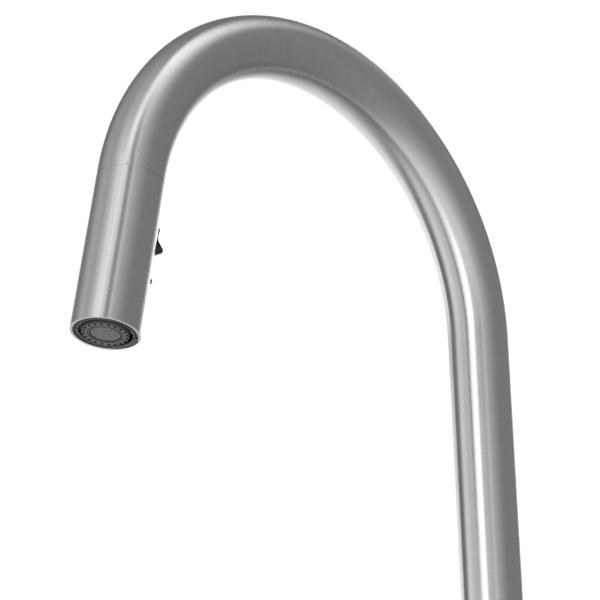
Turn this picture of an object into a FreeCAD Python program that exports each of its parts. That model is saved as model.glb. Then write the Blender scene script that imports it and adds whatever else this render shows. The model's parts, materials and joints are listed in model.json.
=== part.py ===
"""Pull-down kitchen faucet: a gooseneck spout that swivels on a slim body with a side lever.

Row frame: millimetres, +Z up, the origin at the centre of the base's underside, where it rests on
the deck. The spout reaches towards -Y, the lever is on the +X side.  Each piece is its own node.
"""
import FreeCAD, Part
import math
import os

V = FreeCAD.Vector
X_AXIS, Y_AXIS, Z_AXIS = V(1, 0, 0), V(0, 1, 0), V(0, 0, 1)

# ---- driving dimensions, in mm -------------------------------------------------------------
# gooseneck
TUBE_R = 14.3            # outer radius of the spout tube and of the spray head
TUBE_WALL = 1.2
ARC_R = 110.0            # centreline radius of the bend
ARC_Z = 290.0            # height of the bend's centre above the deck
TILT = 11.0              # degrees between the spray head's axis and the vertical
TUBE_TAIL = 2.5          # straight tube after the bend
SEAM = 0.1               # gap between the spout tube and the docked head
HEAD_LENGTH = 70.4       # length of the spray head's shell

# body and base
BODY_R = 23.0
CAVITY_R = 19.5
BODY_TOP = 122.0
BASE_R = 27.0
BASE_H = 5.0
BEARING_H = 30.0         # depth of the swivel's bore below the body's top
BEARING_WALL = 2.9       # radial room between the tube and the swivel's bore
VALVE_Z = 68.0           # height of the valve's horizontal axis
HUB_R = 17.0
HUB_PROUD = 5.8          # how far the valve hub stands out of the body

# shank and deck hardware
SHANK_R = 16.75
SHANK_BORE_R = 14.2
SHANK_DROP = 62.0        # shank length below the deck's top
SHANK_SCREW_H = 10.0     # length screwed into the body
DECK_T = 25.0            # thickness of the deck that it is shown clamped to
NUT_H = 12.0

# water ports and hose
PORT_R = 3.5             # wall radius of the M8 x 1 ports
PORT_DEPTH = 12.0
PORT_RING_R = 10.0       # distance of the ports from the vertical axis
PORT_ANGLE = 58.0        # degrees from +X
WATERWAY_R = 2.0
HOSE_R = 4.4
HOSE_BORE_R = 2.9
HOSE_CHANNEL_R = 5.2
HOSE_LIFT = 4.5          # the hose's offset towards the outside of the bend
HOSE_TURN_R = 60.0       # its tighter turn into the spray head
HOSE_SWAY_R = 300.0      # its gentle sway in the column
HOSE_BELOW = 20.0        # hose below the shank's end

# valve cartridge, distances along +X from the vertical axis
SEAT_X = 9.0             # floor of the cartridge's seat
CARTRIDGE_R = 12.9
DISC_ROOM = 4.3          # moving disc to the cartridge's outside: the housing's wall and the disc's travel
PIVOT_X = HUB_PROUD + BODY_R + 5.2
STEM_ARM = 9.5           # pivot to the ball on the stem's inner end
STEM_R = 4.0
STEM_REST = 12.0         # degrees that the closed stem leans from the valve's axis
FLOW_TRAVEL = 24.0       # degrees from closed to fully open
BONNET_R = 15.0

# lever
CAP_LENGTH = 22.5
LEVER_REACH = 82.0       # valve axis to the lever's tip
LEVER_R = 4.2
LEVER_TIP_R = 3.3

# spray head, distances s along its axis from its lower rim
SHELL_WALL = 1.1
SLOT_HALF = 7.15         # half width of the shell's rear slot
SLOT_TOP = 61.5
FACE_R = 9.6             # spray face
FACE_PROUD = 0.45
NOZZLE_COUNT = 20
NOZZLE_RING_R = 8.88
NOZZLE_R = 0.5
MESH_R = 5.9
TOGGLE_S = 47.0          # the toggle's pin
TOGGLE_Y = 11.2
TOGGLE_ARM = 8.0         # pin to the finger that moves the spool
BUTTON_S = 29.0          # centre of the pause button
FIT = 0.1                # clearance of pieces that are pushed together
RUN = 0.05               # running clearance
STEM_TRAVEL_ROOM = 0.35  # between the bonnet's ball and the lever's cap

TUBE_BORE_R = TUBE_R - TUBE_WALL
BEARING_R = TUBE_R + BEARING_WALL
BEARING_FLOOR = BODY_TOP - BEARING_H
HUB_END = BODY_R + HUB_PROUD
HOSE_ARC_R = ARC_R + HOSE_LIFT
HEAD_DROP = HEAD_LENGTH + SEAM + TUBE_TAIL     # end of the bend to the head's rim
DOCK_S = HEAD_LENGTH + SEAM                    # the spout tube's mouth, along the head's axis
BEND = 180.0 - TILT
SHELL_BORE_R = TUBE_R - SHELL_WALL
CORE_R = SHELL_BORE_R - FIT


# ---- small helpers --------------------------------------------------------------------------
def cyl(r, z0, z1, x=0.0, y=0.0):
    """Cylinder about a vertical line, from height z0 to z1."""
    return Part.makeCylinder(r, z1 - z0, V(x, y, z0), Z_AXIS)


def ring(r_out, r_in, z0, z1):
    return cyl(r_out, z0, z1).cut(cyl(r_in, z0 - 1, z1 + 1))


def cone(r0, r1, z0, z1):
    return Part.makeCone(r0, r1, z1 - z0, V(0, 0, z0), Z_AXIS)


def box(x0, x1, y0, y1, z0, z1):
    return Part.makeBox(x1 - x0, y1 - y0, z1 - z0, V(x0, y0, z0))


def turned(points):
    """Solid of revolution about Z from a closed outline of (radius, height) points."""
    wire = Part.makePolygon([V(r, 0, z) for r, z in points + points[:1]])
    return Part.Face(wire).revolve(V(0, 0, 0), Z_AXIS, 360)


def hexagon(across_flats, z0, z1):
    corner = across_flats / math.sqrt(3)
    points = [V(corner * math.cos(math.radians(60 * k)), corner * math.sin(math.radians(60 * k)), z0)
              for k in range(7)]
    return Part.Face(Part.makePolygon(points)).extrude(V(0, 0, z1 - z0))


def sphere(r, centre=V(0, 0, 0)):
    return Part.makeSphere(r, centre)


def join(*shapes):
    """One solid from shapes that overlap or share faces."""
    whole = shapes[0].multiFuse(list(shapes[1:])) if len(shapes) > 1 else shapes[0]
    return whole.removeSplitter()


def rounded(shape, radius, pick):
    """Fillets the edges that pick(edge) chooses."""
    edges = [e for e in shape.Edges if pick(e)]
    return shape.makeFillet(radius, edges) if edges else shape


def circle_at(height, radius, tol=0.02):
    """Chooses the round edges of that radius at that height."""
    def pick(edge):
        curve = edge.Curve
        return (isinstance(curve, Part.Circle) and abs(curve.Radius - radius) < tol
                and abs(edge.BoundBox.ZMin - height) < tol and abs(edge.BoundBox.ZMax - height) < tol)
    return pick


def sprung(radius, wire_r, z0, z1, turns):
    """Coil spring about Z whose wire stays between z0 and z1."""
    height = z1 - z0 - 2 * wire_r
    helix = Part.makeHelix(height / turns, height, radius)
    helix.translate(V(0, 0, z0 + wire_r))
    section = Part.Wire([Part.Circle(V(radius, 0, z0 + wire_r), Y_AXIS, wire_r).toShape()])
    return Part.Wire(helix).makePipeShell([section], True, True)


def on_valve(shape):
    """Carries a piece modelled about Z onto the valve's axis: its height becomes x."""
    out = shape.copy()
    out.Placement = FreeCAD.Placement(V(0, 0, VALVE_Z), FreeCAD.Rotation(Y_AXIS, 90)).multiply(
        out.Placement)
    return out


def bend_end():
    """Point where the bend ends and the spray head's axis begins."""
    a = math.radians(BEND)
    return V(0, -ARC_R + ARC_R * math.cos(a), ARC_Z + ARC_R * math.sin(a))


HEAD_DOWN = V(0, -math.sin(math.radians(TILT)), -math.cos(math.radians(TILT)))
RIM = bend_end() + HEAD_DOWN * HEAD_DROP


def on_head(shape):
    """Carries a piece modelled about Z onto the head's axis: its height becomes s, its +Y the rear."""
    out = shape.copy()
    out.Placement = FreeCAD.Placement(RIM, FreeCAD.Rotation(X_AXIS, -TILT)).multiply(out.Placement)
    return out


def path_solid(start, steps, radius):
    """Round bar along a path in the YZ plane. It starts upwards, and each step is
    ("line", length) or ("turn", radius, degrees), where a positive turn leans towards -Y."""
    pieces, at, heading = [], V(*start), V(0, 0, 1)
    for step in steps:
        disc = Part.Face(Part.Wire([Part.Circle(at, heading, radius).toShape()]))
        if step[0] == "line":
            pieces.append(disc.extrude(heading * step[1]))
            at = at + heading * step[1]
        else:
            turn_r, angle = step[1], step[2]
            side = V(0, -heading.z, heading.y) * (1 if angle > 0 else -1)
            centre = at + side * turn_r
            pieces.append(disc.revolve(centre, X_AXIS, angle))
            rotation = FreeCAD.Rotation(X_AXIS, angle)
            at = centre + rotation.multVec(at - centre)
            heading = rotation.multVec(heading)
    return join(*pieces)


def pipe(start, steps, r_out, r_in):
    return path_solid(start, steps, r_out).cut(path_solid(start, steps, r_in))


NODES = {}


def node(name, shape):
    NODES[name] = shape


# ---- base, shank and deck hardware ----------------------------------------------------------
GASKET_IN, GASKET_OUT, GASKET_H = 21.0, 25.0, 1.5
BASE_CHAMFER = 1.0


def make_base():
    base = turned([(SHANK_R + 0.25, 0), (BASE_R, 0), (BASE_R, BASE_H - BASE_CHAMFER),
                   (BASE_R - BASE_CHAMFER, BASE_H), (SHANK_R + 0.25, BASE_H)])
    node("base_ring", base.cut(ring(GASKET_OUT, GASKET_IN, -1, GASKET_H)))
    node("base_gasket", ring(GASKET_OUT - FIT, GASKET_IN + FIT, 0, GASKET_H - RUN))
    shank = join(cyl(CAVITY_R - FIT, BASE_H, BASE_H + SHANK_SCREW_H), cyl(SHANK_R, -SHANK_DROP, BASE_H))
    node("mounting_shank", shank.cut(cyl(SHANK_BORE_R, -SHANK_DROP - 1, BASE_H + SHANK_SCREW_H + 1)))


WASHER_RUBBER_T, WASHER_STEEL_T = 3.0, 1.5
NUT_R = 25.5
CLAMP_SCREW_R, CLAMP_SCREW_RING, CLAMP_SCREW_OUT = 2.5, 21.2, 6.0


def make_deck_hardware():
    z = -DECK_T
    node("deck_washer_rubber", ring(NUT_R + 0.5, SHANK_R + FIT, z - WASHER_RUBBER_T, z))
    z -= WASHER_RUBBER_T
    node("deck_washer_steel", ring(NUT_R + 1.5, SHANK_R + FIT, z - WASHER_STEEL_T, z))
    z -= WASHER_STEEL_T
    nut = ring(NUT_R, SHANK_R + RUN, z - NUT_H, z)
    notch = cyl(3.0, z - NUT_H - 1, z + 1, x=NUT_R + 0.6)
    for k in range(12):
        if k % 6 != 3:
            grip = notch.copy()
            grip.rotate(V(0, 0, 0), Z_AXIS, 30 * k)
            nut = nut.cut(grip)
    screws = []
    for side in (-1, 1):
        y = side * CLAMP_SCREW_RING
        nut = nut.cut(cyl(CLAMP_SCREW_R + RUN, z - NUT_H - 1, z + 1, y=y))
        screw = join(cyl(CLAMP_SCREW_R, z - NUT_H - CLAMP_SCREW_OUT, z, y=y),
                     cyl(CLAMP_SCREW_R + 1.2, z - NUT_H - CLAMP_SCREW_OUT - 3, z - NUT_H - CLAMP_SCREW_OUT,
                         y=y))
        socket = hexagon(3.0, z - NUT_H - CLAMP_SCREW_OUT - 4, z - NUT_H - CLAMP_SCREW_OUT - 1)
        socket.translate(V(0, y, 0))
        screws.append(screw.cut(socket))
    node("mounting_nut", nut)
    node("nut_clamp_screws", Part.makeCompound(screws))


# ---- body, manifold and swivel --------------------------------------------------------------
MANIFOLD_BOTTOM = VALVE_Z - 20.0
WASHER_T = 1.0
MANIFOLD_TOP = BEARING_FLOOR - 0.5
MANIFOLD_R = CAVITY_R - 0.2
HUB_BORE_R = CARTRIDGE_R + 1.6
LOCK_SCREW_R, LOCK_SCREW_Z = 2.1, MANIFOLD_BOTTOM + 6.0


def make_body():
    outer = rounded(cyl(BODY_R, BASE_H, BODY_TOP), 1.4, circle_at(BODY_TOP, BODY_R))
    hub = on_valve(rounded(cyl(HUB_R, 0, HUB_END), 0.8, circle_at(HUB_END, HUB_R)))
    shell = join(outer, hub)
    shell = shell.cut(cyl(CAVITY_R, BASE_H - 1, BEARING_FLOOR))
    shell = shell.cut(cyl(BEARING_R, BEARING_FLOOR - 1, BODY_TOP + 1))
    shell = shell.cut(on_valve(cyl(HUB_BORE_R, 0, HUB_END + 1)))
    shell = shell.cut(on_valve(cyl(BONNET_R + 0.4, HUB_END - 1.0, HUB_END + 1)))
    lock_hole = Part.makeCylinder(LOCK_SCREW_R + RUN, BODY_R, V(0, 0, LOCK_SCREW_Z), Y_AXIS)
    node("body_shell", shell.cut(lock_hole))
    screw = Part.makeCylinder(LOCK_SCREW_R, 5.0, V(0, MANIFOLD_R - 1.8, LOCK_SCREW_Z), Y_AXIS)
    socket = hexagon(2.5, 0, 3.0)
    socket.Placement = FreeCAD.Placement(V(0, MANIFOLD_R + 1.7, LOCK_SCREW_Z), FreeCAD.Rotation(X_AXIS, -90))
    node("manifold_lock_screw", screw.cut(socket))


def port_xy(angle):
    return (PORT_RING_R * math.cos(math.radians(angle)), PORT_RING_R * math.sin(math.radians(angle)))


WAY_Y, WAY_LOW, WAY_HIGH = CARTRIDGE_R - 5.7, -4.5, CARTRIDGE_R - 7.3     # waterways' mouths on the seat's floor


def make_manifold():
    block = cyl(MANIFOLD_R, MANIFOLD_BOTTOM, MANIFOLD_TOP)
    block = block.cut(cyl(HOSE_CHANNEL_R, MANIFOLD_BOTTOM - 1, MANIFOLD_TOP + 1))
    block = block.cut(on_valve(cyl(CARTRIDGE_R + FIT, SEAT_X, BODY_R)))
    block = block.cut(on_valve(cyl(HUB_BORE_R + FIT, SEAT_X + 9.5, BODY_R)))
    for angle, mouth_y, mouth_z in ((PORT_ANGLE, WAY_Y, WAY_LOW), (-PORT_ANGLE, -WAY_Y, WAY_LOW),
                                    (180 - PORT_ANGLE, WAY_Y + 1.2, WAY_HIGH)):
        x, y = port_xy(angle)
        top = VALVE_Z + mouth_z
        block = block.cut(cyl(PORT_R, MANIFOLD_BOTTOM - 1, MANIFOLD_BOTTOM + PORT_DEPTH, x=x, y=y))
        block = block.cut(cyl(WATERWAY_R, MANIFOLD_BOTTOM, top, x=x, y=y))
        block = block.cut(Part.makeCylinder(WATERWAY_R - FIT, SEAT_X - x, V(x, mouth_y, top), X_AXIS))
    dimple = Part.makeCylinder(LOCK_SCREW_R + RUN, 6.0, V(0, MANIFOLD_R - 1.9, LOCK_SCREW_Z), Y_AXIS)
    node("valve_manifold", block.cut(dimple))


GLIDE_LOW_H, GLIDE_HIGH_H, CLIP_T = 5.0, 10.0, 1.2
COLLAR_PROUD, COLLAR_FLANGE = 2.5, 1.4
CLIP_Z = BODY_TOP - COLLAR_PROUD - 16.5
GROOVE_DEPTH = 0.6


def make_swivel():
    floor = BEARING_FLOOR
    node("thrust_washer", ring(BEARING_R - FIT, TUBE_BORE_R - 1.5, MANIFOLD_TOP, MANIFOLD_TOP + WASHER_T))
    node("glide_ring_lower", ring(BEARING_R - FIT, TUBE_R + RUN, floor + 2, floor + 2 + GLIDE_LOW_H))
    top = CLIP_Z + CLIP_T + 0.3
    node("glide_ring_upper", ring(BEARING_R - FIT, TUBE_R + RUN, top, top + GLIDE_HIGH_H))
    collar_low, collar_top = top + GLIDE_HIGH_H, BODY_TOP + COLLAR_PROUD
    seal_z = (collar_low + BODY_TOP) / 2
    collar = turned([(TUBE_R + 0.3, collar_low), (BEARING_R - RUN, collar_low), (BEARING_R - RUN, BODY_TOP),
                     (BEARING_R + COLLAR_FLANGE, BODY_TOP), (BEARING_R + COLLAR_FLANGE, collar_top - 1.0),
                     (BEARING_R + COLLAR_FLANGE - 1.0, collar_top), (TUBE_R + 0.3, collar_top)])
    node("top_collar", collar.cut(ring(TUBE_R + 1.7, TUBE_R, seal_z - 0.9, seal_z + 0.9)))
    node("spout_o_ring", Part.makeTorus(TUBE_R + RUN + 0.8, 0.8, V(0, 0, seal_z), Z_AXIS))
    clip = ring(TUBE_R + 2.0, TUBE_R - GROOVE_DEPTH + RUN, CLIP_Z, CLIP_Z + CLIP_T)
    node("spout_clip", clip.cut(box(-5, 5, 0, 2 * BODY_R, CLIP_Z - 1, CLIP_Z + CLIP_T + 1)))


# ---- gooseneck and hose ---------------------------------------------------------------------
def make_spout():
    foot = MANIFOLD_TOP + WASHER_T + 0.02
    steps = [("line", ARC_Z - foot), ("turn", ARC_R, BEND), ("line", TUBE_TAIL)]
    tube = pipe((0, 0, foot), steps, TUBE_R, TUBE_BORE_R)
    groove = ring(TUBE_R + 1, TUBE_R - GROOVE_DEPTH, CLIP_Z - RUN, CLIP_Z + CLIP_T + RUN)
    node("spout_tube", tube.cut(groove))


DOCK_LENGTH, DOCK_BORE_R = 11.5, 9.3
MAGNET_IN, MAGNET_OUT, MAGNET_T = 9.9, 12.1, 2.4


def make_dock():
    """Plastic collar in the spout's mouth, narrow enough above its lip to clear the bend."""
    lip, top = DOCK_S + 4.0, DOCK_S + DOCK_LENGTH
    collar = join(cyl(TUBE_BORE_R - FIT, DOCK_S, lip), cyl(TUBE_BORE_R - 0.7, lip, top))
    collar = collar.cut(cyl(DOCK_BORE_R, DOCK_S - 1, top + 1))
    collar = collar.cut(ring(MAGNET_OUT + FIT, MAGNET_IN - FIT, DOCK_S + 0.6, top + 1))
    node("dock_collar", on_head(collar))
    node("dock_magnet", on_head(ring(MAGNET_OUT, MAGNET_IN, DOCK_S + 0.65, DOCK_S + 0.65 + MAGNET_T)))


FERRULE_S0, FERRULE_S1, FERRULE_R = 76.0, 90.0, 6.0
HOSE_END_S = 78.0
CONNECTOR_R, CONNECTOR_LENGTH = 6.0, 30.0
CONNECTOR_BORE_R = 4.0


def hose_steps():
    """Up the column, over the bend along its outer side, then straight into the spray head."""
    lean = math.degrees(math.acos(1 - HOSE_LIFT / (2 * HOSE_SWAY_R)))
    sway_height = 2 * HOSE_SWAY_R * math.sin(math.radians(lean))
    last = math.degrees(math.acos((ARC_R - HOSE_TURN_R) / (HOSE_ARC_R - HOSE_TURN_R)))
    straight_s = HEAD_DROP + (HOSE_ARC_R - HOSE_TURN_R) * math.sin(math.radians(last))
    rise = ARC_Z - sway_height + SHANK_DROP + HOSE_BELOW
    return [("line", rise), ("turn", HOSE_SWAY_R, -lean), ("turn", HOSE_SWAY_R, lean),
            ("turn", HOSE_ARC_R, BEND - last), ("turn", HOSE_TURN_R, last), ("line", straight_s - HOSE_END_S)]


def make_hose():
    bottom = -SHANK_DROP - HOSE_BELOW
    node("spray_hose", pipe((0, 0, bottom), hose_steps(), HOSE_R, HOSE_BORE_R))
    ferrule = join(ring(FERRULE_R, HOSE_R + FIT, bottom - 1, bottom + 13), ring(FERRULE_R, 2.2, bottom - 2, bottom - 1))
    for k in range(3):
        z = bottom + 2.5 + 3.5 * k
        ferrule = ferrule.cut(ring(FERRULE_R + 1, FERRULE_R - 0.45, z, z + 1.6))
    node("hose_inlet_ferrule", ferrule)
    top, low = bottom - 2, bottom - CONNECTOR_LENGTH
    connector = join(cyl(CONNECTOR_R, low, low + 17), cyl(5.0, low + 17, low + 19),
                     hexagon(10.2, low + 19, low + 24), cyl(4.6, low + 24, top), cyl(2.1, top, bottom + 10))
    chamber_top = low + 15
    connector = connector.cut(cyl(CONNECTOR_BORE_R, low - 1, chamber_top)).cut(cyl(1.5, low, bottom + 11))
    connector = connector.cut(ring(CONNECTOR_R + 1, CONNECTOR_R - 0.9, low + 4, low + 6.2))
    node("hose_inlet_connector", connector)
    node("connector_o_ring", Part.makeTorus(CONNECTOR_R - 0.28, 0.6, V(0, 0, low + 5.1), Z_AXIS))
    seat = low + 1.8
    node("check_valve_seat", ring(CONNECTOR_BORE_R - RUN, 2.4, low + 0.3, seat))
    poppet = join(cyl(2.1, seat - 0.8, seat + 0.02), cyl(3.5, seat + 0.02, seat + 1.5),
                  cyl(1.3, seat + 1.5, chamber_top - 4.0))
    node("check_valve_poppet", poppet)
    node("check_valve_spring", sprung(2.4, 0.35, seat + 1.52, chamber_top - 0.02, 5.5))


# ---- valve cartridge and lever --------------------------------------------------------------
# Distances along x. The cartridge is modelled about Z and turned onto the valve's axis, which
# makes the model's +X point down in the row frame.
BASE_X1 = SEAT_X + 5.0
FIXED_X1 = BASE_X1 + 3.5
MOVING_X0, MOVING_X1 = FIXED_X1 + 0.02, FIXED_X1 + 3.0
CARRIER_X1 = PIVOT_X - 8.7
SHOULDER_X = PIVOT_X - 7.2
ROTOR_X0, ROTOR_X1 = PIVOT_X - 8.4, PIVOT_X + 2.7
NECK_R, NECK_BORE_R, NECK_X1 = 9.9, 8.4, PIVOT_X + 4.0
SKIRT_X0 = SEAT_X + 10.0
STEM_SLOT_HALF = STEM_R + 0.15
BALL_R = 1.9


def way_positions():
    """Where the three waterways meet the cartridge, as (x, y) of the model about Z."""
    return [(-WAY_LOW, WAY_Y), (-WAY_LOW, -WAY_Y), (-WAY_HIGH, WAY_Y + 1.2)]


def make_cartridge():
    base = cyl(CARTRIDGE_R, SEAT_X + FIT, BASE_X1)
    fixed = cyl(CARTRIDGE_R - 1.9, BASE_X1, FIXED_X1)
    seals = []
    for x, y in way_positions():
        base = base.cut(cyl(1.5, SEAT_X, BASE_X1 + 1, x=x, y=y)).cut(cyl(2.6, SEAT_X, SEAT_X + 1.1, x=x, y=y))
        fixed = fixed.cut(cyl(1.5, BASE_X1 - 1, FIXED_X1 + 1, x=x, y=y))
        seals.append(cyl(2.5, SEAT_X, SEAT_X + 1.05, x=x, y=y).cut(cyl(1.6, SEAT_X - 1, SEAT_X + 2, x=x, y=y)))
    node("cartridge_base", on_valve(base))
    node("cartridge_seals", on_valve(Part.makeCompound(seals)))
    node("fixed_ceramic_disc", on_valve(fixed))

    shoulder_in = SHOULDER_X - 1.3
    housing = join(cyl(CARTRIDGE_R, BASE_X1, SHOULDER_X), cyl(NECK_R, SHOULDER_X, NECK_X1))
    housing = housing.cut(cyl(CARTRIDGE_R - 1.7, BASE_X1 - 1, shoulder_in))
    housing = housing.cut(cyl(NECK_BORE_R, shoulder_in - 1, ROTOR_X1 + FIT))
    housing = housing.cut(cyl(STEM_R + 2.4, NECK_X1 - 3, NECK_X1 + 1))
    node("cartridge_housing", on_valve(housing))

    nut = ring(HUB_BORE_R - FIT, CARTRIDGE_R + 0.15, SKIRT_X0, SHOULDER_X + RUN)
    nut_lip = cyl(HUB_BORE_R - FIT, SHOULDER_X + RUN, HUB_END - 0.8)
    nut_head = hexagon(20.8, HUB_END - 0.8, HUB_END + 2.2)
    nut = join(nut, nut_lip.cut(cyl(NECK_R + 0.2, 0, 2 * HUB_END)), nut_head.cut(cyl(NECK_R + 0.2, 0, 2 * HUB_END)))
    node("cartridge_nut", on_valve(nut))

    centre = V(0, 0, PIVOT_X)
    dome = sphere(BONNET_R, centre).cut(sphere(BONNET_R - 1.8, centre))
    dome = dome.common(cyl(2 * BONNET_R, HUB_END - 0.3, PIVOT_X + 9.0))
    dome = join(dome, cyl(BONNET_R + 0.3, HUB_END - 0.75, HUB_END - 0.05)).cut(cyl(12.4, 0, HUB_END + 2.5))
    dome = dome.cut(sphere(BONNET_R - 1.8, centre))
    node("bonnet_dome", on_valve(dome))


def rest_offset():
    """How far the closed stem holds the moving disc below the valve's axis."""
    return STEM_ARM * math.sin(math.radians(STEM_REST))


def make_mixer():
    """The moving disc and its slide, which the stem's ball pushes up as the valve opens."""
    low = rest_offset()
    half = BALL_R + 0.12
    disc = cyl(CARTRIDGE_R - DISC_ROOM, MOVING_X0, CARRIER_X1, x=low)
    disc = disc.cut(cyl(4.6, MOVING_X0 - 1, MOVING_X0 + 1.8, x=low))
    disc = disc.cut(box(low - half, low + half, -half, half, MOVING_X1 + 0.05, CARRIER_X1 + 1))
    node("mixing_disc", on_valve(disc))

    rotor = cyl(NECK_BORE_R - 0.08, ROTOR_X0, ROTOR_X1)
    rotor = rotor.cut(box(-5.3, 5.3, -STEM_SLOT_HALF, STEM_SLOT_HALF, ROTOR_X0 - 1, ROTOR_X1 + 1))
    cross = Part.makeCylinder(1.5, 2 * NECK_R, V(0, -NECK_R, PIVOT_X), Y_AXIS)
    node("stem_carrier", on_valve(rotor.cut(cross)))
    pin = Part.makeCylinder(1.5 - RUN, 2 * NECK_BORE_R - 1.2, V(0, -NECK_BORE_R + 0.6, PIVOT_X), Y_AXIS)
    node("stem_pivot_pin", on_valve(pin))


CAP_X0 = PIVOT_X + 3.5
CAP_X1 = CAP_X0 + CAP_LENGTH
LEVER_X = CAP_X1 - 7.5
STEM_OUT = CAP_X1 - PIVOT_X - 3.0
GRUB_R = 1.7


def make_lever():
    """Stem, cap and lever turn together about the pin. The stem leans by STEM_REST when closed."""
    stem = join(sphere(BALL_R, V(0, 0, -STEM_ARM)), cyl(1.7, -STEM_ARM, -STEM_R), cone(1.7, STEM_R, -STEM_R, -1.8),
                cyl(STEM_R, -1.8, STEM_OUT))
    stem = stem.cut(Part.makeCylinder(1.5 + RUN, 4 * STEM_R, V(0, -2 * STEM_R, 0), Y_AXIS))
    stem = stem.cut(box(STEM_R - 0.7, STEM_R + 1, -STEM_R, STEM_R, STEM_OUT - 9, STEM_OUT + 1))
    lean = FreeCAD.Placement(V(0, 0, PIVOT_X), FreeCAD.Rotation(Y_AXIS, -STEM_REST))
    stem.Placement = lean
    node("valve_stem", on_valve(stem))

    cap = cyl(HUB_R, CAP_X0, CAP_X1)
    cap = rounded(cap, 1.8, circle_at(CAP_X1, HUB_R))
    cap = cap.cut(sphere(BONNET_R + STEM_TRAVEL_ROOM, V(0, 0, PIVOT_X)))
    socket = cyl(STEM_R + 0.08, 5.0, STEM_OUT + 0.4)
    socket.Placement = lean
    cap = cap.cut(socket)
    cap = on_valve(cap)
    lever_foot = VALVE_Z + 9.0
    cap = cap.cut(cyl(LEVER_R - 0.7 + RUN, lever_foot, VALVE_Z + HUB_R + 1, x=LEVER_X))
    stem_side = VALVE_Z + (LEVER_X - PIVOT_X) * math.tan(math.radians(STEM_REST)) - STEM_R / math.cos(
        math.radians(STEM_REST))
    cap = cap.cut(cyl(GRUB_R + RUN, VALVE_Z - HUB_R - 1, stem_side, x=LEVER_X))
    cap = cap.cut(on_valve(cyl(3.4, CAP_X1 - 0.6, CAP_X1 + 1)))
    node("lever_cap", cap)
    node("temperature_mark", on_valve(cyl(3.4 - RUN, CAP_X1 - 0.6, CAP_X1 + 0.1)))

    grub = cyl(GRUB_R, VALVE_Z - HUB_R + 2.4, stem_side - 0.15, x=LEVER_X)
    socket = hexagon(1.8, VALVE_Z - HUB_R + 2.0, VALVE_Z - HUB_R + 4.5)
    socket.translate(V(LEVER_X, 0, 0))
    node("lever_grub_screw", grub.cut(socket))

    tip = VALVE_Z + LEVER_REACH
    rod = Part.makeCone(LEVER_R, LEVER_TIP_R, LEVER_REACH - LEVER_TIP_R, V(LEVER_X, 0, VALVE_Z), Z_AXIS)
    rod = join(rod, sphere(LEVER_TIP_R, V(LEVER_X, 0, tip - LEVER_TIP_R)))
    rod = rod.cut(on_valve(cyl(HUB_R + 0.03, 0, 2 * CAP_X1)))
    stub = cyl(LEVER_R - 0.7, lever_foot + FIT, VALVE_Z + HUB_R + 3, x=LEVER_X)
    node("lever_rod", join(rod, stub))


# ---- spray head -----------------------------------------------------------------------------
INSERT_IN_R = 11.1       # inner radius of the face ring
INSERT_H = 6.2
CORE_TOP = 64.0
POCKET_LOW_Y, POCKET_HIGH_Y, POCKET_STEP_S = 6.3, 7.9, 37.0
SPOOL_Y, SPOOL_R = 2.2, 3.0
SPOOL_S0, SPOOL_S1 = 20.0, 49.0
INLET_R, NIPPLE_R = 6.9, 3.6
SEAT_S = 54.0            # where the hose's nipple seats
BEZEL_Y = 9.4
BEZEL_R = TUBE_R - 0.3
WINDOW_HALF = 5.9
TOGGLE_HALF = 5.6
TOGGLE_LOW, TOGGLE_HIGH = -6.6, 10.3      # the toggle's ends, from its pin
BUTTON_HALF_S = 5.0


def slot_shape(half, top, y0, low=-1.0, corner=3.0):
    """Upright rear slot, open below, with rounded upper corners."""
    block = box(-half, half, y0, 2 * TUBE_R, low, top)
    corners = [e for e in block.Edges if abs(abs(e.CenterOfMass.x) - half) < 1e-6
               and abs(e.CenterOfMass.z - top) < 1e-6]
    return block.makeFillet(corner, corners)


def make_shell():
    shell = ring(TUBE_R, SHELL_BORE_R, 0, HEAD_LENGTH)
    shell = rounded(shell, 0.45, circle_at(0, TUBE_R))
    node("head_shell", on_head(shell.cut(slot_shape(SLOT_HALF, SLOT_TOP, 0))))


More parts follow.
